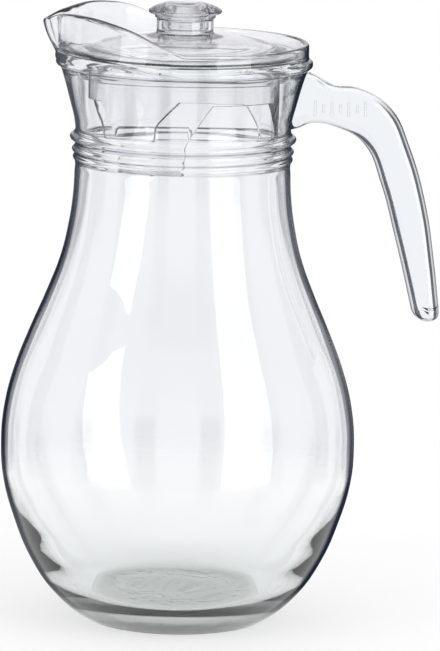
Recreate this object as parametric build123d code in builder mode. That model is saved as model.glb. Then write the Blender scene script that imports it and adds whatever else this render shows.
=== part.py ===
from build123d import *
import math
import os

# Glass jug with a loose plastic lid. Millimetres, +Z up, the middle of the flat base at the
# origin. The spout points along -X and the handle along +X, and the glass is the same on
# both sides of the XZ plane.

# Outside of the bulb, as a radius and a height at each turn of the curve
foot_r = 34.5
heel_r = 51.0
heel_z = 12.0
flank_r = 67.0
flank_z = 42.0
belly_r = 72.5
belly_z = 72.0
shoulder_r = 67.3
shoulder_z = 104.0
slope_r = 54.4
slope_z = 136.0
throat_r = 46.2
throat_z = 163.0

# Neck, its three rings, and the flare up to the ridge
neck_r = 44.0
neck_z = 187.0
neck_length = 17.0
ring_lift = [12.5, 7.4, 4.2]
ring_stand_out = [2.1, 1.2, 0.8]
ring_bead_r = [1.9, 1.4, 1.2]
flare_height = 24.5
flare_mid_out = 2.3
flare_mid_share = 0.43
flare_top_in = 0.4
ridge_bead_r = 1.8
ridge_stand_out = 1.7
ridge_lift = 2.1

# Thickness of the glass
base_thickness = 8.2
floor_r = 24.0
inner_heel_in = 5.0
inner_heel_up = 4.0
inner_flank_in = 6.8
inner_flank_down = 5.0
wall = 3.4
neck_wall = 3.5
flare_wall = 4.2

# Rim band, and the ledge inside it that carries the lid
rim_r = 50.5
rim_wall = 2.4
ledge_width = 4.1
ledge_over_ridge = 2.8
band_height = 5.6

# Pouring lip: how far the points of the round rim move out to make its beak
lip_start_angle = 120.0
lip_angles = [132.0, 147.0, 160.0, 170.0, 176.0]
lip_moves = [(0.9, -1.0), (1.2, -0.9), (0.7, -0.9), (-2.0, 0.3), (-7.2, -0.1)]
lip_tip_move = 8.9
lip_way = (-0.75, -0.66)
lip_mid_share = 0.62
lip_mid_over_rim = 2.0
lip_end_over_rim = 16.0
lip_foot_x = 0.5
lip_slope = [(-5.0, 1.5), (-20.5, 8.6)]
lip_brow_in = 10.5
lip_brow_rise = 12.3
lip_tip_rise = 7.8

# Handle: a flat strap of glass, given as points out from the neck and down from the ridge
strap_thickness = 13.5
strap_round = 4.4
strap_bury = 2.0
strap_back = [
    (8.0, 4.0), (16.0, 8.4), (28.0, 10.0), (40.5, 18.1),
    (48.3, 33.6), (55.6, 58.1), (59.3, 80.6), (61.6, 99.1),
]
strap_front = [
    (50.4, 100.1), (47.2, 86.6), (42.6, 68.6), (36.6, 47.6),
    (29.6, 32.2), (19.0, 25.8), (8.0, 24.0), (3.0, 26.0),
]
mark_count = 7
mark_pitch = 3.4
mark_width = 0.9
mark_long = 6.4
mark_short = 3.8
mark_height = 0.35
mark_out = 19.5
mark_down = 17.4

# Lid moulding
lid_play = 2.1
seat_play = 0.05
flange_thickness = 2.0
flange_width = 2.8
lid_thickness = 2.0
dome_rise = 6.6
dome_mid_share = 0.5
dome_mid_rise = 4.4
skirt_play = 2.0
skirt_wall = 1.8
skirt_depth = 15.4
tongue_count = 3
tongue_depth = 43.4
tongue_waist_depth = 31.4
tongue_root_half = 22.9
tongue_waist_half = 13.9
tongue_end_half = 13.2
tongue_waist_round = 8.0
tongue_tip_round = 3.0
foot_play = 0.5
foot_height = 3.2
foot_chamfer = 0.8
lid_turn = 10.0
stem_r = 11.5
stem_wall = 1.9
stem_height = 6.4

# Knob cap, a mushroom whose plug sits in the stem
cap_r = 14.9
cap_rise = 6.8
cap_edge_rise = 2.8
cap_edge_round = 0.9
cap_collar_out = 0.8
cap_collar_height = 1.5
cap_plug_depth = 4.2
cap_plug_play = 0.05
cap_wall = 1.7
cap_roof = 2.6

# Sizes that follow from the ones above
collar_z = neck_z + neck_length
flare_top_z = collar_z + flare_height
ridge_z = flare_top_z + ridge_lift
ledge_z = ridge_z + ledge_over_ridge
rim_top_z = ledge_z + band_height
rim_in_r = rim_r - rim_wall
ledge_r = rim_in_r - ledge_width
neck_in_r = neck_r - neck_wall
flange_r = rim_in_r - lid_play
seat_z = ledge_z + seat_play
flange_top_z = seat_z + flange_thickness
dome_edge_r = flange_r - flange_width
dome_top_z = flange_top_z + dome_rise
skirt_r = neck_in_r - skirt_play
skirt_end_z = ledge_z - skirt_depth
skirt_top_z = flange_top_z + dome_rise * (dome_edge_r - skirt_r) / (dome_edge_r - stem_r)
tongue_end_z = ledge_z - tongue_depth
tongue_waist_z = ledge_z - tongue_waist_depth
foot_r_out = neck_in_r - foot_play
stem_in_r = stem_r - stem_wall
stem_top_z = dome_top_z + stem_height


# The outside of the jug's round part as one full solid, which also trims the handle's root
with BuildPart() as jug_outside:
    with BuildSketch(Plane.XZ):
        with BuildLine():
            Line((0, ledge_z), (0, 0))
            Line((0, 0), (foot_r, 0))
            Spline(
                (foot_r, 0),
                (heel_r, heel_z),
                (flank_r, flank_z),
                (belly_r, belly_z),
                (shoulder_r, shoulder_z),
                (slope_r, slope_z),
                (throat_r, throat_z),
                (neck_r, neck_z),
                tangents=[(1, 0.25), (0, 1)],
                tangent_scalars=[1, 1],
            )
            Line((neck_r, neck_z), (neck_r, collar_z))
            Spline(
                (neck_r, collar_z),
                (neck_r + flare_mid_out, collar_z + flare_mid_share * flare_height),
                (rim_r - flare_top_in, flare_top_z),
                tangents=[(0.06, 1), (0.42, 1)],
                tangent_scalars=[1, 1],
            )
            Line((rim_r - flare_top_in, flare_top_z), (rim_r - flare_top_in, ledge_z))
            Line((rim_r - flare_top_in, ledge_z), (0, ledge_z))
        make_face()
        # Three beads round the neck, and the ridge under the rim band
        for lift, stand_out, bead_r in zip(ring_lift, ring_stand_out, ring_bead_r):
            with Locations((neck_r + stand_out - bead_r, neck_z + lift)):
                Circle(bead_r)
        with Locations((rim_r + ridge_stand_out - ridge_bead_r, ridge_z)):
            Circle(ridge_bead_r)
    revolve(axis=Axis.Z)

# The hollow of the jug, from its floor to just over the ledge
with BuildPart() as jug_hollow:
    with BuildSketch(Plane.XZ):
        with BuildLine():
            Line((0, ledge_z + 1), (0, base_thickness))
            Line((0, base_thickness), (floor_r, base_thickness))
            Spline(
                (floor_r, base_thickness),
                (heel_r - inner_heel_in, heel_z + inner_heel_up),
                (flank_r - inner_flank_in, flank_z - inner_flank_down),
                (belly_r - wall, belly_z),
                (shoulder_r - 0.94 * wall, shoulder_z - 0.34 * wall),
                (slope_r - 0.92 * wall, slope_z - 0.39 * wall),
                (throat_r - wall, throat_z),
                (neck_in_r, neck_z),
                tangents=[(1, 0), (0, 1)],
                tangent_scalars=[1, 1],
            )
            Line((neck_in_r, neck_z), (neck_in_r, collar_z))
            Spline(
                (neck_in_r, collar_z),
                (neck_r + flare_mid_out - flare_wall, collar_z + flare_mid_share * flare_height),
                (ledge_r, ledge_z),
                tangents=[(0.06, 1), (0.1, 1)],
                tangent_scalars=[1, 1],
            )
            Line((ledge_r, ledge_z), (ledge_r, ledge_z + 1))
            Line((ledge_r, ledge_z + 1), (0, ledge_z + 1))
        make_face()
    revolve(axis=Axis.Z)


def on_circle(r, degrees):
    return (r * math.cos(math.radians(degrees)), r * math.sin(math.radians(degrees)))


def rim_level(height, r, share):
    # The rim's outline at one height: a circle where share is 0, with the full beak at 1
    start = on_circle(r, lip_start_angle)
    points = [on_circle(r, angle) for angle in lip_angles]
    points = [(x + share * dx, y + share * dy) for (x, y), (dx, dy) in zip(points, lip_moves)]
    tip = r + share * lip_tip_move
    leave = (-math.sin(math.radians(lip_start_angle)), math.cos(math.radians(lip_start_angle)))
    round_way = (-math.sin(math.radians(lip_angles[-1])), math.cos(math.radians(lip_angles[-1])))
    arrive = tuple(a + share * (b - a) for a, b in zip(round_way, lip_way))
    near = [(x, -y) for x, y in points]
    with BuildSketch(Plane.XY.offset(height)) as level:
        with BuildLine():
            ThreePointArc((start[0], -start[1]), (r, 0), start)
            if share == 0:
                ThreePointArc(start, points[1], points[-1])
                ThreePointArc(near[-1], near[1], (start[0], -start[1]))
            else:
                Spline(start, *points, tangents=[leave, arrive])
                Spline(
                    *reversed(near),
                    (start[0], -start[1]),
                    tangents=[(-arrive[0], arrive[1]), (-leave[0], leave[1])],
                )
            ThreePointArc(points[-1], (-tip, 0), near[-1])
        make_face()
    return level.sketch


# The rim band flares into the lip: its outside and its inside, each through three outlines
with BuildPart() as band_outside:
    add(rim_level(ridge_z, rim_r, 0))
    add(rim_level(rim_top_z + lip_mid_over_rim, rim_r, lip_mid_share))
    add(rim_level(rim_top_z + lip_end_over_rim, rim_r, 1))
    loft()

with BuildPart() as band_inside:
    add(rim_level(ledge_z, rim_in_r, 0))
    add(rim_level(rim_top_z + lip_mid_over_rim, rim_in_r, lip_mid_share))
    add(rim_level(rim_top_z + lip_end_over_rim, rim_in_r, 1))
    loft()

# All that stands over the rim's edge, which is level behind and climbs over a brow to the tip
with BuildPart() as over_rim:
    tip_x = -rim_r - lip_tip_move
    with BuildSketch(Plane.XZ.offset(-2 * rim_r)):
        with BuildLine():
            Line((2 * rim_r, rim_top_z), (lip_foot_x, rim_top_z))
            Spline(
                (lip_foot_x, rim_top_z),
                *[(x, rim_top_z + rise) for x, rise in lip_slope],
                (lip_brow_in - rim_r, rim_top_z + lip_brow_rise),
                (tip_x, rim_top_z + lip_tip_rise),
                tangents=[(-1, 0), (-1, -0.5)],
            )
            Line((tip_x, rim_top_z + lip_tip_rise), (2 * tip_x, rim_top_z))
            Line((2 * tip_x, rim_top_z), (2 * tip_x, 2 * rim_top_z))
            Line((2 * tip_x, 2 * rim_top_z), (2 * rim_r, 2 * rim_top_z))
            Line((2 * rim_r, 2 * rim_top_z), (2 * rim_r, rim_top_z))
        make_face()
    extrude(amount=4 * rim_r)

# The jug: one piece of glass with its rings, ledge, rim band and lip
with BuildPart() as jug_body:
    add(jug_outside.part)
    add(band_outside.part)
    add(jug_hollow.part, mode=Mode.SUBTRACT)
    add(band_inside.part, mode=Mode.SUBTRACT)
    add(over_rim.part, mode=Mode.SUBTRACT)


def strap_points(points):
    return [(neck_r + out, ridge_z - down) for out, down in points]


# The handle: fused to the neck at its upper end, open at the lower one
with BuildPart() as handle:
    with BuildSketch(Plane.XZ.offset(-strap_thickness / 2)):
        with BuildLine():
            back = Spline(
                *strap_points(strap_back),
                tangents=[(0.7, -1), (0.05, -1)],
                tangent_scalars=[1, 1],
            )
            front_start, *front_rest = strap_points(strap_front)
            tip = TangentArc(back @ 1, front_start, tangent=back % 1)
            front = Spline(
                front_start,
                *front_rest,
                tangents=[tip % 1, (-1, -0.5)],
                tangent_scalars=[1, 1],
            )
            root_x = neck_r - strap_bury
            Polyline(front @ 1, (root_x, (front @ 1).Y), (root_x, (back @ 0).Y), back @ 0)
        make_face()
    extrude(amount=strap_thickness)
    sides = handle.edges().filter_by(Plane.XZ).filter_by(lambda edge: edge.length > 15)
    fillet(sides.sort_by(Axis.X)[-6:], strap_round)
    # A plain row of raised strokes, long and short by turns, on the flat that faces -Y
    with BuildSketch(Plane.XZ.offset(strap_thickness / 2 - 0.5)):
        with Locations((neck_r + mark_out, ridge_z - mark_down)):
            with GridLocations(2 * mark_pitch, 1, (mark_count + 1) // 2, 1):
                Rectangle(mark_width, mark_long)
            with GridLocations(2 * mark_pitch, 1, mark_count // 2, 1):
                Rectangle(mark_width, mark_short)
    extrude(amount=0.5 + mark_height)
    add(jug_outside.part, mode=Mode.SUBTRACT)


# The lid moulding's round part: flange, dome, stem wall and skirt
with BuildPart() as lid_round:
    with BuildSketch(Plane.XZ):
        dome_mid_r = stem_r + dome_mid_share * (dome_edge_r - stem_r)
        dome_mid_z = flange_top_z + dome_mid_rise
        dome_edge = (dome_edge_r, flange_top_z)
        with BuildLine():
            Line((0, dome_top_z - lid_thickness), (0, dome_top_z))
            Line((0, dome_top_z), (stem_r, dome_top_z))
            ThreePointArc((stem_r, dome_top_z), (dome_mid_r, dome_mid_z), dome_edge)
            Line(dome_edge, (flange_r, flange_top_z))
            Line((flange_r, flange_top_z), (flange_r, seat_z))
            Line((flange_r, seat_z), (dome_edge_r, flange_top_z - lid_thickness))
            ThreePointArc(
                (dome_edge_r, flange_top_z - lid_thickness),
                (dome_mid_r, dome_mid_z - lid_thickness),
                (stem_r, dome_top_z - lid_thickness),
            )
            Line((stem_r, dome_top_z - lid_thickness), (0, dome_top_z - lid_thickness))
        make_face()
        with BuildLine():
            Polyline(
                (stem_in_r, dome_top_z - lid_thickness / 2),
                (stem_r, dome_top_z - lid_thickness / 2),
                (stem_r, stem_top_z),
                (stem_in_r, stem_top_z),
                close=True,
            )
        make_face()
        with BuildLine():
            Polyline(
                (skirt_r - skirt_wall, skirt_end_z),
                (skirt_r, skirt_end_z),
                (skirt_r, skirt_top_z),
                (skirt_r - skirt_wall, skirt_top_z),
                close=True,
            )
        make_face()
    revolve(axis=Axis.Z)

# A full ring as deep as the tongues, its foot turned out at the bottom
with BuildPart() as tongue_ring:
    with BuildSketch(Plane.XZ):
        with BuildLine():
            Polyline(
                (skirt_r - skirt_wall, skirt_end_z + 1),
                (skirt_r, skirt_end_z + 1),
                (skirt_r, tongue_end_z + foot_height + foot_r_out - skirt_r),
                (foot_r_out, tongue_end_z + foot_height),
                (foot_r_out, tongue_end_z + foot_chamfer),
                (foot_r_out - foot_chamfer, tongue_end_z),
                (skirt_r - skirt_wall, tongue_end_z),
                close=True,
            )
        make_face()
    revolve(axis=Axis.Z)

# The outline of each tongue seen from outside, as a block that reaches past the ring
with BuildPart() as tongue_blocks:
    for n in range(tongue_count):
        angle = lid_turn + n * 360 / tongue_count
        outward = Plane((0, 0, 0), x_dir=(*on_circle(1, angle + 90), 0), z_dir=(*on_circle(1, angle), 0))
        with BuildSketch(outward) as outline:
            with BuildLine():
                Polyline(
                    (-tongue_root_half, skirt_end_z + 1),
                    (-tongue_root_half, skirt_end_z),
                    (-tongue_waist_half, tongue_waist_z),
                    (-tongue_end_half, tongue_end_z),
                    (tongue_end_half, tongue_end_z),
                    (tongue_waist_half, tongue_waist_z),
                    (tongue_root_half, skirt_end_z),
                    (tongue_root_half, skirt_end_z + 1),
                    close=True,
                )
            make_face()
            corners = outline.vertices().group_by(Axis.Y)
            fillet(corners[0], tongue_tip_round)
            fillet(outline.vertices().filter_by_position(
                Axis.Y, tongue_waist_z - 1, tongue_waist_z + 1), tongue_waist_round)
        extrude(amount=2 * skirt_r)

with BuildPart() as lid:
    add(tongue_ring.part)
    add(tongue_blocks.part, mode=Mode.INTERSECT)
    add(lid_round.part)

# The knob cap: a mushroom with a collar on the stem's top and a hollow plug inside it
with BuildPart() as knob_cap:
    with BuildSketch(Plane.XZ):
        collar_r = stem_r + cap_collar_out
        collar_z_top = stem_top_z + cap_collar_height
        edge_z = stem_top_z + cap_edge_rise
        plug_r = stem_in_r - cap_plug_play
        plug_z = stem_top_z - cap_plug_depth
        roof_z = stem_top_z + cap_rise
        with BuildLine():
            edge_top = (cap_r - cap_edge_round, edge_z + cap_edge_round)
            edge_low = (cap_r - cap_edge_round, edge_z - cap_edge_round)
            TangentArc((0, roof_z), edge_top, tangent=(1, 0))
            ThreePointArc(edge_top, (cap_r, edge_z), edge_low)
            Polyline(
                edge_low,
                (collar_r, collar_z_top),
                (collar_r, stem_top_z),
                (plug_r, stem_top_z),
                (plug_r, plug_z),
                (plug_r - cap_wall, plug_z),
                (plug_r - cap_wall, roof_z - cap_roof),
                (0, roof_z - cap_roof),
                (0, roof_z),
            )
        make_face()
    revolve(axis=Axis.Z)


os.makedirs("parts", exist_ok=True)

jug_body.part.label = "jug_body"
export_step(jug_body.part, "parts/jug_body.step")

handle.part.label = "handle"
export_step(handle.part, "parts/handle.step")

lid.part.label = "lid"
export_step(lid.part, "parts/lid.step")

knob_cap.part.label = "knob_cap"
export_step(knob_cap.part, "parts/knob_cap.step")
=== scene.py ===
# %% [markdown]
# # A glass jug with a clear lid
#
# This lesson dresses a measured model of a pouring jug for its picture. The jug is one piece of
# pressed and blown glass with a strap handle fused on, and a loose clear lid stands in its mouth.
# We start by loading the measured model, so that every new piece can take its place from it.

import math

import bmesh
import bpy
import numpy as np
from mathutils import Matrix, Vector, noise


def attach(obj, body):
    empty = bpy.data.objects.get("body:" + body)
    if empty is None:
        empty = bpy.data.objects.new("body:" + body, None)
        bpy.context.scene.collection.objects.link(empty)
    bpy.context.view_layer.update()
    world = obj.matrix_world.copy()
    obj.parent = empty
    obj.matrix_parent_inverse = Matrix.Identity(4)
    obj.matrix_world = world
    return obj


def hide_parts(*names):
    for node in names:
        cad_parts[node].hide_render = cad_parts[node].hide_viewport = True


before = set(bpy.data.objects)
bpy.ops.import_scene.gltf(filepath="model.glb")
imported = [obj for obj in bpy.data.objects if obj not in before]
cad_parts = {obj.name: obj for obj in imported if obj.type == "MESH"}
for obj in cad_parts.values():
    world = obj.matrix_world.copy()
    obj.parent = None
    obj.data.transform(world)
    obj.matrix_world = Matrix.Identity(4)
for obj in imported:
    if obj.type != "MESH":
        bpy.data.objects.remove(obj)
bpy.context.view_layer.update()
MM = 0.001

# %% [markdown]
# ## The camera
#
# The picture was taken from well back with a long lens, a little above the jug. Instead of
# guessing by eye, we write the stand point and three small turns as named values and build the
# camera's three axes from them. The lens follows from how many pixels one radian covers.

# %% The camera
IMAGE_LONG_SIDE = 651
SENSOR_MM = 36.0
PIXELS_PER_RADIAN = 5458.4
CAMERA_BACK = 2.2
CAMERA_HEIGHT = 0.5105
CAMERA_YAW = 0.0075
CAMERA_PITCH = 0.1748
CAMERA_ROLL = 0.0197


def camera_axes(yaw, pitch, roll):
    ahead = Vector((math.sin(yaw) * math.cos(pitch), math.cos(yaw) * math.cos(pitch), -math.sin(pitch)))
    level_right = Vector((math.cos(yaw), -math.sin(yaw), 0))
    level_up = level_right.cross(ahead)
    right = math.cos(roll) * level_right + math.sin(roll) * level_up
    up = -math.sin(roll) * level_right + math.cos(roll) * level_up
    return right, up, -ahead


lens = bpy.data.cameras.new("long_lens")
lens.sensor_width = SENSOR_MM
lens.lens = PIXELS_PER_RADIAN * SENSOR_MM / IMAGE_LONG_SIDE
lens.clip_end = 50
camera = bpy.data.objects.new("camera", lens)
turn = Matrix(camera_axes(CAMERA_YAW, CAMERA_PITCH, CAMERA_ROLL)).transposed().to_4x4()
camera.matrix_world = Matrix.Translation((0, -CAMERA_BACK, CAMERA_HEIGHT)) @ turn
bpy.context.scene.collection.objects.link(camera)
bpy.context.scene.camera = camera
print("lens", round(lens.lens, 1), "mm")

# %% [markdown]
# ## Helpers for node trees
#
# Every finish below is a small network of nodes. One helper adds a node and fills in its
# settings and inputs, and three more stand for the nodes that come up again and again: a sum, a
# ramp from one value to another, and a blend of two colours. Each finish then reads as a short
# list of what it is made of.

# %% Helpers for nodes


def add_node(tree, kind, inputs=None, **settings):
    """Adds a node. An input is given a plain value or the output of another node."""
    node = tree.nodes.new(kind)
    for name, value in settings.items():
        setattr(node, name, value)
    for name, value in (inputs or {}).items():
        socket = node.inputs[name]
        if hasattr(value, "links"):
            tree.links.new(value, socket)
        else:
            socket.default_value = value
    return node


def maths(tree, operation, first, second=0.0):
    return add_node(tree, "ShaderNodeMath", {0: first, 1: second}, operation=operation).outputs[0]


def ramp(tree, value, start, end, low=0.0, high=1.0, smooth=True):
    """Low where the value is at start, high where it is at end, and level beyond both."""
    return add_node(
        tree,
        "ShaderNodeMapRange",
        {"Value": value, "From Min": start, "From Max": end, "To Min": low, "To Max": high},
        interpolation_type="SMOOTHSTEP" if smooth else "LINEAR",
    ).outputs[0]


def colour_mix(tree, share, first, second):
    inputs = {"Factor": share, "A": first, "B": second}
    return add_node(tree, "ShaderNodeMix", inputs, data_type="RGBA").outputs["Result"]


print("helpers", [helper.__name__ for helper in (add_node, maths, ramp, colour_mix)])

# %% [markdown]
# ## The studio round the jug
#
# Clear glass has almost no look of its own: it shows the room. A glass photographer stands the
# piece among white screens and leaves dark gaps between them. Seen straight through thin glass
# the screens look even and pale, but where a wall turns away it bends the view sideways on to a
# gap, and a dark line draws the outline. Here the world does that job. Overhead, screens and gaps
# melt into one grey ceiling, which keeps the thick base calm. Light bent through glass sees all of
# it, gloss sees an even screen, the camera sees plain white, and everything else gets soft light.

# %% Screens with dark gaps, as the world
SCREEN_COUNT = 8
GAP_SOFT_START = -0.35
GAP_SOFT_END = -0.75
CEILING_START = 0.25
CEILING_END = 0.70
SCREEN_COLOUR = (0.93, 0.93, 0.97, 1)
GAP_COLOUR = (0.10, 0.105, 0.13, 1)
CEILING_COLOUR = (0.55, 0.55, 0.58, 1)
WHITE = (1, 1, 1, 1)
SOFT_LIGHT = (0.95, 0.95, 0.96, 1)

world = bpy.data.worlds.new("studio")
world.use_nodes = True
bpy.context.scene.world = world
tree = world.node_tree
tree.nodes.clear()
looking = add_node(tree, "ShaderNodeTexCoord").outputs["Generated"]
way = add_node(tree, "ShaderNodeSeparateXYZ", {0: looking})
compass = maths(tree, "ARCTAN2", way.outputs["X"], way.outputs["Y"])
wave = maths(tree, "COSINE", maths(tree, "MULTIPLY", compass, SCREEN_COUNT))
gap = ramp(tree, wave, GAP_SOFT_START, GAP_SOFT_END)
ceiling = ramp(tree, way.outputs["Z"], CEILING_START, CEILING_END)
screens = colour_mix(tree, gap, SCREEN_COLOUR, GAP_COLOUR)
room = colour_mix(tree, ceiling, screens, CEILING_COLOUR)
ray = add_node(tree, "ShaderNodeLightPath").outputs
seen_in_gloss = colour_mix(tree, ray["Is Glossy Ray"], SOFT_LIGHT, SCREEN_COLOUR)
seen_by_glass = colour_mix(tree, ray["Is Transmission Ray"], seen_in_gloss, room)
seen = colour_mix(tree, ray["Is Camera Ray"], seen_by_glass, WHITE)
sky = add_node(tree, "ShaderNodeBackground", {"Color": seen, "Strength": 1.0})
add_node(tree, "ShaderNodeOutputWorld", {"Surface": sky.outputs[0]})
print("world nodes", len(tree.nodes))

# %% [markdown]
# ## The floor
#
# The jug stands on a small round table top, pale and matt. Towards its edge the top turns
# transparent, so that it melts into the white background with no visible rim and only the soft
# shadow under the glass is left. Seen directly, in gloss or through glass it is partly as bright
# as the background, while the light it throws back on the jug is its own colour's.

# %% A pale floor that fades out
FLOOR_R = 0.42
FLOOR_SOLID_R = 0.24
FLOOR_SIDES = 96
FLOOR_DROP = 0.0004
FLOOR_COLOUR = (0.96, 0.955, 0.97, 1)
FLOOR_GLOW = 0.6

shape = bmesh.new()
bmesh.ops.create_circle(shape, cap_ends=True, segments=FLOOR_SIDES, radius=FLOOR_R)
floor_mesh = bpy.data.meshes.new("floor")
shape.to_mesh(floor_mesh)
shape.free()
floor = bpy.data.objects.new("floor", floor_mesh)
floor.location.z = -FLOOR_DROP
bpy.context.scene.collection.objects.link(floor)

pale = bpy.data.materials.new("pale_top")
pale.use_nodes = True
tree = pale.node_tree
tree.nodes.clear()
here = add_node(tree, "ShaderNodeTexCoord").outputs["Object"]
out = add_node(tree, "ShaderNodeVectorMath", {0: here}, operation="LENGTH").outputs["Value"]
fade = ramp(tree, out, FLOOR_SOLID_R, FLOOR_R)
ray = add_node(tree, "ShaderNodeLightPath").outputs
through = maths(tree, "MAXIMUM", ray["Is Glossy Ray"], ray["Is Transmission Ray"])
seen = maths(tree, "MAXIMUM", ray["Is Camera Ray"], through)
shaded = add_node(tree, "ShaderNodeBsdfDiffuse", {"Color": FLOOR_COLOUR})
lit = add_node(tree, "ShaderNodeEmission", {"Color": WHITE, "Strength": 1.0})
glow = maths(tree, "MULTIPLY", seen, FLOOR_GLOW)
matt = add_node(tree, "ShaderNodeMixShader", {0: glow, 1: shaded.outputs[0], 2: lit.outputs[0]})
clear = add_node(tree, "ShaderNodeBsdfTransparent")
blend = add_node(tree, "ShaderNodeMixShader", {0: fade, 1: matt.outputs[0], 2: clear.outputs[0]})
add_node(tree, "ShaderNodeOutputMaterial", {"Surface": blend.outputs[0]})
floor_mesh.materials.append(pale)
print("floor radius", FLOOR_R)

# %% [markdown]
# ## Two soft boxes
#
# The tall white shapes on the bulb are soft boxes mirrored in the glass. Where a highlight sits
# says where its lamp stands: the mirror direction at its corners gives a compass angle and a
# height. Glass reflects only a twentieth of what it faces, so the boxes are a few times brighter
# than the background, and they stay hidden from the camera and from light bent through the glass.

# %% Soft boxes
BOX_BACK = 1.3
BOX_LIGHT = 3.0


def soft_box(name, compass_deg, height, wide, tall, lean_deg):
    """A rectangle of light that faces the jug. The compass angle runs from the camera's side."""
    lamp = bpy.data.lights.new(name, "AREA")
    lamp.shape = "RECTANGLE"
    lamp.size = wide
    lamp.size_y = tall
    lamp.energy = BOX_LIGHT * math.pi * wide * tall
    box = bpy.data.objects.new(name, lamp)
    angle = math.radians(compass_deg)
    stand = Vector((math.sin(angle), -math.cos(angle), 0)) * BOX_BACK
    back = stand.normalized()
    across = Vector((0, 0, 1)).cross(back)
    facing = Matrix((across, (0, 0, 1), back)).transposed().to_4x4()
    lean = Matrix.Rotation(math.radians(lean_deg), 4, "Z")
    box.matrix_world = Matrix.Translation(stand + Vector((0, 0, height))) @ facing @ lean
    box.visible_camera = False
    box.visible_transmission = False
    bpy.context.scene.collection.objects.link(box)


soft_box("box_left", compass_deg=-48, height=0.10, wide=0.62, tall=1.50, lean_deg=18)
soft_box("box_right", compass_deg=47, height=0.33, wide=0.78, tall=1.65, lean_deg=-6)
print("soft boxes at", BOX_BACK, "m")

# %% [markdown]
# ## Waves, haze and the mould's mark
#
# Soft pressing leaves long shallow waves in glass, which break up the edges of the mirrored soft
# boxes, and faint smears dull it here and there. Both come from a noise on Object coordinates.
# The underside is matt, since it stood on the mould. The bottom of the base is painted a little
# grey-green, a painted shade that stands in for the shaded floor seen through the thick base.
# A matt underside matters: it lets the light out that would else be caught in the thick base and
# leave it black.

# %% Waves, haze and the painted shade underneath
WAVE_STRETCH = (1, 1, 0.45)
WAVE_DETAIL = 2.0
WAVE_ROUGHNESS = 0.35
SMEAR_SCALE = 60.0
SMEAR_DETAIL = 3.0
SMEAR_START = 0.45
SMEAR_END = 0.75
MATT_TOP_Z = 0.0012
MATT = 0.45
# Painted shade: how high and how far out the grey-green of the low glass near the axis reaches, and its
# colour.
BOTTOM_SHADE_TOP_Z = 0.0105
BOTTOM_SHADE_R_START = 0.031
BOTTOM_SHADE_R_END = 0.036
BOTTOM_SHADE_COLOUR = (0.78, 0.82, 0.775, 1)
ACROSS = (1, 1, 0)


def pressed_waves(tree, here, wave_size):
    tall = add_node(tree, "ShaderNodeMapping", {"Vector": here, "Scale": WAVE_STRETCH}).outputs[0]
    inputs = {
        "Vector": tall,
        "Scale": 1 / wave_size,
        "Detail": WAVE_DETAIL,
        "Roughness": WAVE_ROUGHNESS,
    }
    return add_node(tree, "ShaderNodeTexNoise", inputs).outputs[0]


def dullness(tree, here, z, haze):
    inputs = {"Vector": here, "Scale": SMEAR_SCALE, "Detail": SMEAR_DETAIL}
    smears = add_node(tree, "ShaderNodeTexNoise", inputs).outputs[0]
    rough = ramp(tree, smears, SMEAR_START, SMEAR_END, 0.0, haze, smooth=False)
    matt = maths(tree, "MULTIPLY", maths(tree, "LESS_THAN", z, MATT_TOP_Z), MATT)
    return maths(tree, "MAXIMUM", rough, matt)


# Painted shade: mixes the grey-green into the surface colour low in the base, fading out towards the wall.
def with_bottom_shade(tree, out, z, tint):
    r = add_node(tree, "ShaderNodeVectorMath", {0: out}, operation="LENGTH").outputs["Value"]
    low = maths(tree, "LESS_THAN", z, BOTTOM_SHADE_TOP_Z)
    bottom_shade = maths(tree, "MULTIPLY", low, ramp(tree, r, BOTTOM_SHADE_R_END, BOTTOM_SHADE_R_START))
    return colour_mix(tree, bottom_shade, tint, BOTTOM_SHADE_COLOUR)


print("matt up to", MATT_TOP_Z, "m, mark out to", BOTTOM_SHADE_R_END, "m")

# %% [markdown]
# ## Painted dark outlines
#
# A turned-away wall is seen through far more glass than a flat one, and there real glass bends
# the view on to dark surroundings. The Layer Weight node paints that dark outline on as painted
# shade, a dark matt shader mixed in, from every side, whatever room the jug is shown in. Only
# skin that faces away from the jug's axis gets it, and level faces don't. It starts earlier on the
# thick neck than on the bulb, and earlier still on the narrow handle, which gets it all round.

# %% Where the painted outlines lie
EDGE_START = 0.72
EDGE_END = 0.82
NECK_EDGE_START = 0.52
NECK_FROM_Z = 0.125
NECK_TO_Z = 0.165
STRAP_EDGE_START = 0.22
STRAP_FROM_X = 0.052
STRAP_FROM_Z = 0.150
STRAP_ARM_X = 0.078
STRAP_BLEND = 0.012
LEVEL_START = 0.55
LEVEL_END = 0.85
PATCH_START = 0.35
PATCH_END = 0.6
PATCH_LEAST = 0.8


def on_strap(tree, x, z):
    """How far a place is inside the handle, in metres, and below zero on the body."""
    beside_neck = maths(tree, "SUBTRACT", x, STRAP_FROM_X)
    above_bulb = maths(tree, "SUBTRACT", z, STRAP_FROM_Z)
    root = maths(tree, "MINIMUM", beside_neck, above_bulb)
    return maths(tree, "MAXIMUM", root, maths(tree, "SUBTRACT", x, STRAP_ARM_X))


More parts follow.
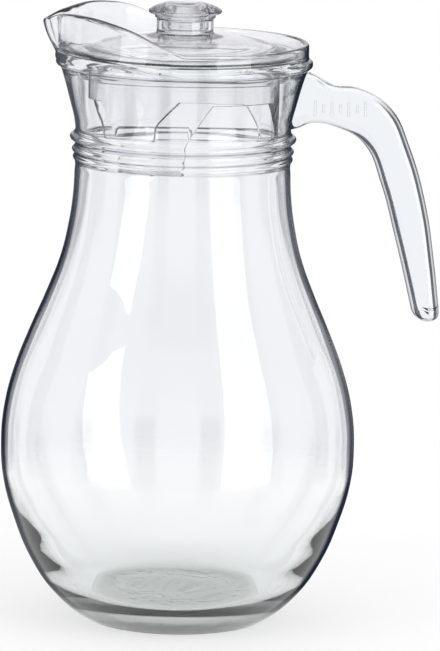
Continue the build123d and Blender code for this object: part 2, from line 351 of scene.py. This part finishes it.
def painted_outline_share(tree, out, place, waves, edge_weight):
    strap = on_strap(tree, place["X"], place["Z"])
    body_start = ramp(tree, place["Z"], NECK_FROM_Z, NECK_TO_Z, EDGE_START, NECK_EDGE_START, smooth=False)
    start = ramp(tree, strap, 0.0, STRAP_BLEND, body_start, STRAP_EDGE_START, smooth=False)
    facing = add_node(tree, "ShaderNodeLayerWeight", {"Blend": 0.5}).outputs["Facing"]
    edge = ramp(tree, facing, start, EDGE_END)
    normal = add_node(tree, "ShaderNodeNewGeometry").outputs["Normal"]
    upward = add_node(tree, "ShaderNodeSeparateXYZ", {0: normal}).outputs["Z"]
    upright = ramp(tree, maths(tree, "ABSOLUTE", upward), LEVEL_END, LEVEL_START)
    outward = add_node(tree, "ShaderNodeVectorMath", {0: out, 1: normal}, operation="DOT_PRODUCT")
    faces_out = maths(tree, "GREATER_THAN", outward.outputs["Value"], 0.0)
    skin = maths(tree, "MAXIMUM", faces_out, maths(tree, "GREATER_THAN", strap, 0.0))
    patches = ramp(
        tree, waves, PATCH_START, PATCH_END, PATCH_LEAST * edge_weight, edge_weight, smooth=False
    )
    weight = maths(tree, "MULTIPLY", patches, maths(tree, "MULTIPLY", upright, skin))
    return maths(tree, "MULTIPLY", edge, weight)


print("outlines from", EDGE_START, "to", EDGE_END)

# %% [markdown]
# ## Clear finishes
#
# Glass bends light by its index, and thick glass is a little green because light is swallowed
# along its way, so the colour goes into the volume and not on the surface. The lid's plastic bends
# light a little more and is a shade duller. The knob's plastic is thicker, bends light less and is
# worn dull by many fingers.

# %% Glass and plastic


def clear_finish(
    name, tint, painted_edge_shade, edge_weight, index, wave_size, wave_depth, haze, depth_colour, depth_density
):
    material = bpy.data.materials.new(name)
    material.use_nodes = True
    tree = material.node_tree
    tree.nodes.clear()
    here = add_node(tree, "ShaderNodeTexCoord").outputs["Object"]
    place = add_node(tree, "ShaderNodeSeparateXYZ", {0: here}).outputs
    out = add_node(tree, "ShaderNodeVectorMath", {0: here, 1: ACROSS}, operation="MULTIPLY").outputs[0]
    waves = pressed_waves(tree, here, wave_size)
    bump = add_node(tree, "ShaderNodeBump", {"Height": waves, "Strength": 1.0, "Distance": wave_depth})
    clear = add_node(
        tree,
        "ShaderNodeBsdfPrincipled",
        {
            # The surface colour carries the painted shade at the bottom of the base.
            "Base Color": with_bottom_shade(tree, out, place["Z"], tint),
            "Roughness": dullness(tree, here, place["Z"], haze),
            "IOR": index,
            "Transmission Weight": 1.0,
            "Normal": bump.outputs[0],
        },
    )
    # Painted shade: a dark matt shader, mixed in at turned-away walls, draws the dark outline.
    outline = add_node(tree, "ShaderNodeBsdfDiffuse", {"Color": painted_edge_shade})
    line = painted_outline_share(tree, out, place, waves, edge_weight)
    surface = add_node(tree, "ShaderNodeMixShader", {0: line, 1: clear.outputs[0], 2: outline.outputs[0]})
    depth = add_node(tree, "ShaderNodeVolumeAbsorption", {"Color": depth_colour, "Density": depth_density})
    add_node(tree, "ShaderNodeOutputMaterial", {"Surface": surface.outputs[0], "Volume": depth.outputs[0]})
    return material


# The dark edge colour given to each finish below is the colour of its painted outline, a painted shade.
glass = clear_finish(
    "jug_glass",
    tint=(0.985, 0.99, 0.99, 1),
    painted_edge_shade=(0.012, 0.018, 0.03, 1),
    edge_weight=1.0,
    index=1.52,
    wave_size=0.045,
    wave_depth=0.0002,
    haze=0.02,
    depth_colour=(0.50, 0.72, 0.66, 1),
    depth_density=7.0,
)
plastic = clear_finish(
    "lid_plastic",
    tint=(0.985, 0.985, 0.99, 1),
    painted_edge_shade=(0.10, 0.10, 0.14, 1),
    edge_weight=0.5,
    index=1.58,
    wave_size=0.03,
    wave_depth=0.00015,
    haze=0.04,
    depth_colour=(0.62, 0.62, 0.72, 1),
    depth_density=8.0,
)
worn_plastic = clear_finish(
    "knob_plastic",
    tint=(0.985, 0.985, 0.99, 1),
    painted_edge_shade=(0.06, 0.06, 0.08, 1),
    edge_weight=0.8,
    index=1.45,
    wave_size=0.03,
    wave_depth=0.0001,
    haze=0.5,
    depth_colour=(0.62, 0.62, 0.70, 1),
    depth_density=14.0,
)
print("finishes", glass.name, plastic.name, worn_plastic.name)

# %% [markdown]
# ## Smooth outlines
#
# A turned shape is best drawn as half its outline, once outside and once inside. Blender's Bezier
# curve with automatic handles goes smoothly through a few chosen points, and where the real piece
# has a corner, one curve ends and the next begins. Spinning the line round the axis then makes
# the whole body, and merging its ends closes the poles.

# %% Helpers for outlines and turned shapes
SAME_PLACE = 0.00002
NO_LENGTH = 0.00001
CORNER_DEG = 40


def outline_mesh(runs, steps):
    """A line in the XZ plane through each run of (radius, height) points in millimetres."""
    curve = bpy.data.curves.new("outline", "CURVE")
    curve.dimensions = "3D"
    curve.resolution_u = steps
    for run in runs:
        spline = curve.splines.new("BEZIER")
        spline.bezier_points.add(len(run) - 1)
        for point, (r, z) in zip(spline.bezier_points, run):
            point.co = (r * MM, 0, z * MM)
            point.handle_left_type = point.handle_right_type = "AUTO"
    holder = bpy.data.objects.new("outline", curve)
    line = bpy.data.meshes.new_from_object(holder)
    bpy.data.objects.remove(holder)
    return line


def turned(runs, steps, around):
    shape = bmesh.new()
    shape.from_mesh(outline_mesh(runs, steps))
    bmesh.ops.remove_doubles(shape, verts=shape.verts[:], dist=SAME_PLACE)
    bmesh.ops.spin(
        shape,
        geom=shape.verts[:] + shape.edges[:],
        cent=(0, 0, 0),
        axis=(0, 0, 1),
        angle=math.tau,
        steps=around,
        use_merge=True,
    )
    bmesh.ops.remove_doubles(shape, verts=shape.verts[:], dist=SAME_PLACE)
    bmesh.ops.dissolve_degenerate(shape, edges=shape.edges[:], dist=NO_LENGTH)
    bmesh.ops.recalc_face_normals(shape, faces=shape.faces[:])
    return shape


def show(shape, name, material):
    """Makes a bmesh an object, smooth all over apart from its real corners."""
    for face in shape.faces:
        face.smooth = True
    for edge in shape.edges:
        edge.smooth = not edge.is_manifold or edge.calc_face_angle(0) < math.radians(CORNER_DEG)
    mesh = bpy.data.meshes.new(name)
    shape.to_mesh(mesh)
    shape.free()
    mesh.materials.append(material)
    piece = bpy.data.objects.new(name, mesh)
    bpy.context.scene.collection.objects.link(piece)
    return piece


def closed(shape):
    return all(edge.is_manifold for edge in shape.edges)


print("corners stay sharp from", CORNER_DEG, "degrees")

# %% [markdown]
# ## The jug's glass
#
# The jug starts as a turned body: a thick base, a round bulb, a neck with three pressed rings,
# a flare, a sharp ridge, a ledge inside the mouth and a thin rim band. The inner floor gets many
# points, because the cooling glass has left ripples there.

# %% The turned body
AROUND = 240
STEPS = 4
FLOOR_Z = 8.2
FLOOR_FLAT_R = 27.0
POOL_RINGS = 12
RIDGE_Z = 230.6
LEDGE_Z = 233.4
RIM_Z = 239.0
RIM_R = 50.5
RIM_WALL = 2.4
RIM_ROUND = 1.1

outside = [
    (34.5, 0.0), (37.5, 0.9), (51.0, 12.0), (60.4, 26.0), (67.0, 42.0), (71.4, 58.0), (72.5, 72.0),
    (71.3, 88.0), (67.3, 104.0), (61.2, 120.0), (54.4, 136.0), (49.2, 150.0), (46.2, 163.0),
    (44.5, 175.0), (44.0, 185.0), (44.0, 189.7), (44.8, 191.2), (44.05, 192.7), (44.1, 193.0),
    (45.2, 194.4), (44.1, 196.0), (44.1, 197.2), (46.1, 199.5), (44.1, 201.8), (44.1, 205.0),
    (46.3, 214.5), (49.2, 225.0), (50.3, 228.4),
]
ridge = [(50.3, 228.4), (52.0, 229.5), (52.2, 230.6), (51.9, 231.6), (50.6, 232.6)]
band = [(50.6, 232.6), (RIM_R, 234.0), (RIM_R, 236.0), (RIM_R, RIM_Z - RIM_ROUND)]
rim_edge = [
    (RIM_R, RIM_Z - RIM_ROUND), (RIM_R - 0.35, RIM_Z - 0.3), (RIM_R - RIM_WALL / 2, RIM_Z),
    (RIM_R - RIM_WALL + 0.35, RIM_Z - 0.3), (RIM_R - RIM_WALL, RIM_Z - RIM_ROUND),
]
band_inside = [
    (RIM_R - RIM_WALL, RIM_Z - RIM_ROUND), (RIM_R - RIM_WALL, 236.0), (RIM_R - RIM_WALL, 234.2),
    (47.5, LEDGE_Z),
]
ledge = [(47.5, LEDGE_Z), (44.6, LEDGE_Z)]
inside = [
    (44.6, LEDGE_Z), (43.9, 232.6), (43.3, 226.0), (42.1, 214.5), (40.6, 205.0), (40.5, 187.0),
    (41.2, 174.0), (42.8, 163.0), (46.2, 149.0), (51.3, 134.7), (57.8, 118.5), (64.1, 102.8),
    (68.0, 87.0), (69.1, 72.0), (67.8, 57.0), (60.2, 37.0), (54.5, 27.0), (46.0, 16.0), (36.0, 9.9),
    (FLOOR_FLAT_R, FLOOR_Z),
]
pool = [(FLOOR_FLAT_R * (POOL_RINGS - n) / POOL_RINGS, FLOOR_Z) for n in range(POOL_RINGS + 1)]
underside = [(0, 0), (17, 0), (34.5, 0)]

jug = turned([underside, outside, ridge, band, rim_edge, band_inside, ledge, inside, pool], STEPS, AROUND)
print("turned body", len(jug.verts), "vertices, closed:", closed(jug))

# %% [markdown]
# ## Ripples on the floor of the jug
#
# Hot glass that sinks on to a cooler mould wrinkles like cooling syrup. A warped noise makes such
# wandering folds, and it moves the real vertices of the floor, since so thick a lens shows every
# fold. The ripples fade out before the floor turns up into the wall.

# %% Ripples
RIPPLE_DEPTH = 0.16
RIPPLE_SIZE = 13.0
RIPPLE_FULL_R = 31.0
RIPPLE_OUTER_R = 42.0
RIPPLE_LOWEST_Z = 4.0
RIPPLE_HIGHEST_Z = 14.0
WARP = 0.9
WARP_SCALE = 0.6
WIDE_SCALE = 1.3
FINE_SCALE = 2.9
FINE_SHARE = 0.5


def fade_between(value, start, end):
    share = min(max((value - start) / (end - start), 0.0), 1.0)
    return share * share * (3 - 2 * share)


for vert in jug.verts:
    r = vert.co.xy.length / MM
    z = vert.co.z / MM
    if r < RIPPLE_OUTER_R and RIPPLE_LOWEST_Z < z < RIPPLE_HIGHEST_Z:
        spot = Vector((vert.co.x, vert.co.y, 0)) / (MM * RIPPLE_SIZE)
        bent = spot + WARP * noise.noise_vector(spot * WARP_SCALE)
        folds = abs(noise.noise(bent * WIDE_SCALE)) + FINE_SHARE * abs(noise.noise(bent * FINE_SCALE))
        amount = 1 - fade_between(r, RIPPLE_FULL_R, RIPPLE_OUTER_R)
        vert.co.z += RIPPLE_DEPTH * MM * amount * (3 * folds - 0.8)
print("ripples", RIPPLE_DEPTH, "mm")

# %% [markdown]
# ## The pouring lip
#
# The rim band was pulled out into a beak while the glass was soft. We do the same: each vertex of
# the band keeps its place in the wall, the top edge climbs along a curve seen from the side, and
# the higher a vertex lies, the more it takes part in the beak's outline seen from above.

# %% Pull out the lip
EDGE_X = [-59.4, -50.0, -40.0, -30.0, -20.5, -12.0, -5.0, 0.5]
EDGE_RISE = [7.8, 11.0, 12.3, 11.2, 8.6, 4.6, 1.5, 0.0]
LIP_ANGLES = [120.0, 132.0, 147.0, 160.0, 170.0, 176.0, 180.0]
LIP_OUT_X = [0.0, 0.9, 1.2, 0.7, -2.0, -7.2, -8.9]
LIP_OUT_Y = [0.0, -1.0, -0.9, -0.9, 0.3, -0.1, 0.0]
SHARE_Z = [0.0, 10.4, 24.4]
SHARE = [0.0, 0.62, 1.0]
BAND_START_Z = 231.6
BAND_LEAST_R = 47.0
LIP_FROM_DEG = 85
ROUNDS = 4


def smooth_between(xs, ys, x, flat_ends=True):
    """A smooth curve through a few values."""
    x = min(max(x, xs[0]), xs[-1])
    slopes = np.gradient(np.array(ys, float), np.array(xs, float))
    if flat_ends:
        slopes[0] = slopes[-1] = 0
    n = min(max(int(np.searchsorted(xs, x)) - 1, 0), len(xs) - 2)
    width = xs[n + 1] - xs[n]
    t = (x - xs[n]) / width
    start = (1 + 2 * t) * (1 - t) ** 2 * ys[n] + t * (1 - t) ** 2 * width * slopes[n]
    end = t * t * (3 - 2 * t) * ys[n + 1] - t * t * (1 - t) * width * slopes[n + 1]
    return float(start + end)


def pulled(r, angle_deg, z):
    share = smooth_between(SHARE_Z, SHARE, z - RIDGE_Z, flat_ends=False)
    turned_away = abs(angle_deg)
    side = 1 if angle_deg > 0 else -1
    x = r * math.cos(math.radians(angle_deg)) + share * smooth_between(LIP_ANGLES, LIP_OUT_X, turned_away)
    y = r * math.sin(math.radians(angle_deg))
    return x, y + side * share * smooth_between(LIP_ANGLES, LIP_OUT_Y, turned_away)


for vert in jug.verts:
    r = vert.co.xy.length / MM
    z = vert.co.z / MM
    start = BAND_START_Z if r > RIM_R - RIM_WALL / 2 else LEDGE_Z
    angle = math.degrees(math.atan2(vert.co.y, vert.co.x))
    if z <= start or r < BAND_LEAST_R or abs(angle) < LIP_FROM_DEG:
        continue
    # The edge's height depends on where it is pulled to, and that on its height, so a few rounds
    # bring the two together.
    edge = RIM_Z
    for _ in range(ROUNDS):
        edge = RIM_Z + smooth_between(EDGE_X, EDGE_RISE, pulled(r, angle, edge)[0])
    body_top = RIM_Z - RIM_ROUND
    if z > body_top:
        z = edge + (z - RIM_Z)
    else:
        z = start + (z - start) * (edge - RIM_ROUND - start) / (body_top - start)
    x, y = pulled(r, angle, z)
    vert.co = Vector((x, y, z)) * MM
tip = min(vert.co.x for vert in jug.verts if vert.co.z > RIM_Z * MM)
print("lip tip", round(tip / MM, 1), "mm")

# %% [markdown]
# ## The handle
#
# The handle is a second gather of glass, pressed flat and bent into an open hook. Its side view
# is drawn with smooth curves and extruded to its width. Every edge is rounded off apart from the
# one straight line of its root, which ends inside the neck.

# %% The handle's strap
STRAP_HALF = 6.75
STRAP_ROUND = 4.4
STRAP_STEPS = 6
ROOT_LENGTH = 20.0
strap_back = [
    (46.8, 227.2), (52.0, 226.6), (60.0, 222.2), (72.0, 220.6), (84.5, 212.5), (92.3, 197.0),
    (99.6, 172.5), (103.3, 150.0), (105.6, 131.5),
]
strap_tip = [(105.6, 131.5), (105.2, 127.4), (101.2, 125.6), (96.4, 127.6), (94.4, 130.5)]
strap_front = [
    (94.4, 130.5), (91.2, 144.0), (86.6, 162.0), (80.6, 183.0), (73.6, 198.4), (63.0, 204.8),
    (52.0, 206.6), (47.0, 204.6), (42.4, 203.4),
]
strap_root = [(42.4, 203.4), (46.8, 227.2)]
strap = bmesh.new()
strap.from_mesh(outline_mesh([strap_back, strap_tip, strap_front], STRAP_STEPS))
strap.from_mesh(outline_mesh([strap_root], 1))
bmesh.ops.remove_doubles(strap, verts=strap.verts[:], dist=SAME_PLACE)
side = bmesh.ops.contextual_create(strap, geom=strap.edges[:])["faces"]
bmesh.ops.translate(strap, verts=strap.verts[:], vec=(0, -STRAP_HALF * MM, 0))
far = bmesh.ops.extrude_face_region(strap, geom=side)["geom"]
bmesh.ops.translate(
    strap,
    verts=[item for item in far if isinstance(item, bmesh.types.BMVert)],
    vec=(0, 2 * STRAP_HALF * MM, 0),
)
bmesh.ops.recalc_face_normals(strap, faces=strap.faces[:])
long_edges = [
    edge
    for edge in strap.edges
    if abs(edge.verts[0].co.y - edge.verts[1].co.y) < 1e-6 and edge.calc_length() < ROOT_LENGTH * MM
]
bmesh.ops.bevel(
    strap,
    geom=long_edges,
    offset=STRAP_ROUND * MM,
    segments=7,
    profile=0.5,
    affect="EDGES",
    material=-1,
    clamp_overlap=False,
)
print("strap", len(strap.faces), "faces, closed:", closed(strap))

# %% [markdown]
# ## Raised strokes
#
# The mould gives one flat side of the handle a short row of raised strokes, long and short by
# turns. Each is a small block with rounded edges, sunk halfway into the strap.

# %% Raised strokes
STROKES = 7
STROKE_PITCH = 3.4
STROKE_MIDDLE = (63.5, 213.2)
STROKE_WIDE = 0.9
STROKE_THICK = 0.7
STROKE_LONG = 6.4
STROKE_SHORT = 3.8
STROKE_ROUND = 0.28
strokes = bmesh.new()
for n in range(STROKES):
    tall = STROKE_LONG if n % 2 == 0 else STROKE_SHORT
    along = STROKE_MIDDLE[0] + (n - (STROKES - 1) / 2) * STROKE_PITCH
    middle = Vector((along, -STRAP_HALF, STROKE_MIDDLE[1]))
    stroke = bmesh.ops.create_cube(strokes, size=1)["verts"]
    bmesh.ops.scale(strokes, verts=stroke, vec=(STROKE_WIDE * MM, STROKE_THICK * MM, tall * MM))
    bmesh.ops.translate(strokes, verts=stroke, vec=middle * MM)
bmesh.ops.bevel(
    strokes,
    geom=strokes.edges[:],
    offset=STROKE_ROUND * MM,
    segments=2,
    profile=0.5,
    affect="EDGES",
    material=-1,
)
print("strokes", STROKES)

# %% [markdown]
# ## Fuse the handle to the body
#
# In the real jug there is no seam: light runs straight from the handle into the neck. Two
# meshes that only touch would show a false mirror at their joint, so a Boolean union makes them
# one closed skin, and its result is stored as the piece's own mesh.

# %% One piece of glass
JOINED_SAME_PLACE = 0.00001
JOINED_NO_LENGTH = 0.000005


def joined(first, second, operation):
    """One closed skin from two closed bmeshes, by the Boolean modifier."""
    holders = [show(first, "first", glass), show(second, "second", glass)]
    union = holders[0].modifiers.new("join", "BOOLEAN")
    union.operation = operation
    union.solver = "EXACT"
    union.object = holders[1]
    bpy.context.view_layer.update()
    graph = bpy.context.evaluated_depsgraph_get()
    shape = bmesh.new()
    shape.from_mesh(bpy.data.meshes.new_from_object(holders[0].evaluated_get(graph)))
    for holder in holders:
        bpy.data.objects.remove(holder)
    bmesh.ops.remove_doubles(shape, verts=shape.verts[:], dist=JOINED_SAME_PLACE)
    bmesh.ops.dissolve_degenerate(shape, edges=shape.edges[:], dist=JOINED_NO_LENGTH)
    return shape


shape = joined(jug, joined(strap, strokes, "UNION"), "UNION")
print("fused glass", len(shape.faces), "faces, closed:", closed(shape))
jug_glass = show(shape, "jug_glass", glass)
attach(jug_glass, "jug")
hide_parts("jug_body", "handle")

# %% [markdown]
# ## The lid
#
# The lid is one thin moulding of clear plastic. Its round part is turned: a flange that lies on
# the ledge, a shallow dome, a hollow stem and a short skirt. Small curves at each corner matter
# here, since they are what catches light on a clear part.

# %% The lid's round part
LID_AROUND = 192
LID_STEPS = 3
SKIRT_R = 38.5
SKIRT_END_Z = 218.0
TONGUE_WALL = 1.3

lid_under = [
    (0, 240.05), (11.5, 240.0), (19.5, 239.3), (27.35, 237.9), (34.0, 236.2), (36.3, 235.4), (36.75, 234.6),
]
skirt_in = [(36.75, 234.6), (36.9, 226.0), (SKIRT_R - TONGUE_WALL, SKIRT_END_Z + 0.3)]
skirt_foot = [(SKIRT_R - TONGUE_WALL, SKIRT_END_Z + 0.3), (37.9, SKIRT_END_Z), (SKIRT_R, SKIRT_END_Z + 0.3)]
skirt_out = [(SKIRT_R, SKIRT_END_Z + 0.3), (SKIRT_R, 226.0), (SKIRT_R, 233.6)]
flange_under = [(SKIRT_R, 233.6), (39.0, 234.5), (41.5, 234.0), (43.2, 233.5), (45.5, 233.48)]
flange_edge = [(45.5, 233.48), (45.93, 233.8), (46.0, 234.5), (45.93, 235.1), (45.5, 235.42)]
dome_out = [
    (45.5, 235.42), (43.4, 235.45), (42.4, 235.8), (35.6, 237.9), (27.35, 239.85), (19.6, 241.2),
    (13.0, 242.0), (11.9, 242.3), (11.5, 243.0),
]
stem = [(11.5, 243.0), (11.5, 245.6), (11.5, 248.1)]
stem_lip = [(11.5, 248.1), (11.2, 248.42), (10.5, 248.45), (9.9, 248.42), (9.62, 248.1)]
stem_bore = [(9.62, 248.1), (9.62, 245.0), (9.5, 242.9), (8.9, 242.2), (0, 242.05)]
lid_below = [lid_under, skirt_in, skirt_foot, skirt_out, flange_under, flange_edge]
lid_above = [dome_out, stem, stem_lip, stem_bore]
lid_round = turned(lid_below + lid_above, LID_STEPS, LID_AROUND)
print("lid's round part", len(lid_round.faces), "faces, closed:", closed(lid_round))

# %% [markdown]
# ## The lid's tongues
#
# Three tongues hang from the skirt and brace the lid in the neck. Each is part of one deep ring,
# so the ring is turned first, with its foot turned out at the bottom. A block with the tongue's
# outline is drawn flat, its corners rounded, and pushed out through the ring, and the part that
# ring and blocks share is the three tongues.

# %% Tongues
TONGUE_END_Z = 190.0
TONGUE_WAIST_Z = 202.0
FOOT_R = 40.0
TONGUES = 3
LID_TURN = 10.0
TONGUE_CORNERS = (((2, 5), 8.0), ((3, 4), 3.0))
CORNER_SHARE = 0.45
PUSH = 1.3
EDGE_ROUND = 0.3
SHARP_DEG = 60
TONGUE_OUTLINE = [
    (-22.9, SKIRT_END_Z + 1), (-22.9, SKIRT_END_Z), (-13.9, TONGUE_WAIST_Z), (-13.2, TONGUE_END_Z),
    (13.2, TONGUE_END_Z), (13.9, TONGUE_WAIST_Z), (22.9, SKIRT_END_Z), (22.9, SKIRT_END_Z + 1),
]

deep_ring = turned(
    [
        [(SKIRT_R - TONGUE_WALL, SKIRT_END_Z + 2), (SKIRT_R - TONGUE_WALL, 190.4)],
        [(SKIRT_R - TONGUE_WALL, 190.4), (37.6, TONGUE_END_Z), (39.2, TONGUE_END_Z), (FOOT_R, 190.8)],
        [(FOOT_R, 190.8), (FOOT_R, 192.2), (39.6, 193.4), (SKIRT_R, 194.8)],
        [(SKIRT_R, 194.8), (SKIRT_R, SKIRT_END_Z + 2)],
        [(SKIRT_R, SKIRT_END_Z + 2), (SKIRT_R - TONGUE_WALL, SKIRT_END_Z + 2)],
    ],
    LID_STEPS,
    LID_AROUND,
)
blocks = bmesh.new()
for n in range(TONGUES):
    block = bmesh.new()
    corners = [block.verts.new((x * MM, 0, z * MM)) for x, z in TONGUE_OUTLINE]
    block.faces.new(corners)
    for places, size in TONGUE_CORNERS:
        bmesh.ops.bevel(
            block,
            geom=[corners[place] for place in places],
            offset=size * MM * CORNER_SHARE,
            segments=6,
            profile=0.5,
            affect="VERTICES",
            material=-1,
        )
    pushed = bmesh.ops.extrude_face_region(block, geom=block.faces[:])["geom"]
    bmesh.ops.translate(
        block,
        verts=[item for item in pushed if isinstance(item, bmesh.types.BMVert)],
        vec=(0, -PUSH * FOOT_R * MM, 0),
    )
    bmesh.ops.recalc_face_normals(block, faces=block.faces[:])
    way_out = math.radians(LID_TURN + n * 360 / TONGUES + 90)
    bmesh.ops.rotate(block, verts=block.verts[:], matrix=Matrix.Rotation(way_out, 3, "Z"))
    one = bpy.data.meshes.new("block")
    block.to_mesh(one)
    block.free()
    blocks.from_mesh(one)
tongues = joined(deep_ring, blocks, "INTERSECT")
sharp_angle = math.radians(SHARP_DEG)
sharp = [edge for edge in tongues.edges if edge.is_manifold and edge.calc_face_angle(0) > sharp_angle]
bmesh.ops.bevel(
    tongues,
    geom=sharp,
    offset=EDGE_ROUND * MM,
    segments=2,
    profile=0.5,
    affect="EDGES",
    material=-1,
    clamp_overlap=True,
)
print("tongues", len(tongues.faces), "faces, closed:", closed(tongues))

# %% [markdown]
# ## The finished lid
#
# The tongues start a little way up inside the skirt, so a union melts both into one moulding.

# %% The finished lid
shape = joined(lid_round, tongues, "UNION")
print("lid", len(shape.faces), "faces, closed:", closed(shape))
lid = show(shape, "lid_moulding", plastic)
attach(lid, "lid_with_knob")
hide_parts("lid")

# %% [markdown]
# ## The knob cap
#
# A small mushroom is pressed into the stem. It is solid enough to look darker than the lid, and
# it has a rounded edge, a collar that sits on the stem and a short hollow plug inside it.

# %% Knob cap
KNOB_STEPS = 5
KNOB_AROUND = 128
cap_top = [(0, 255.25), (6.0, 254.9), (11.0, 253.7), (14.0, 252.2), (14.75, 251.6), (14.9, 251.2)]
cap_under = [(14.9, 251.2), (14.6, 250.6), (13.9, 250.3), (12.9, 250.0), (12.45, 249.7), (12.3, 249.2)]
cap_collar = [(12.3, 249.2), (12.25, 248.7), (11.9, 248.5), (9.54, 248.47)]
cap_plug = [(9.54, 248.47), (9.54, 246.0), (9.4, 244.5), (8.9, 244.25), (8.2, 244.4), (7.9, 244.8)]
cap_hollow = [(7.9, 244.8), (7.8, 248.0), (7.5, 251.0), (6.6, 252.3), (4.0, 252.65), (0, 252.7)]
shape = turned([cap_top, cap_under, cap_collar, cap_plug, cap_hollow], KNOB_STEPS, KNOB_AROUND)
print("knob cap", len(shape.faces), "faces, closed:", closed(shape))
knob = show(shape, "knob_mushroom", worn_plastic)
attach(knob, "lid_with_knob")
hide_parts("knob_cap")

# %% [markdown]
# ## Finish
#
# Colours are shown as written.

# %% Finish
bpy.context.scene.view_settings.view_transform = "Standard"
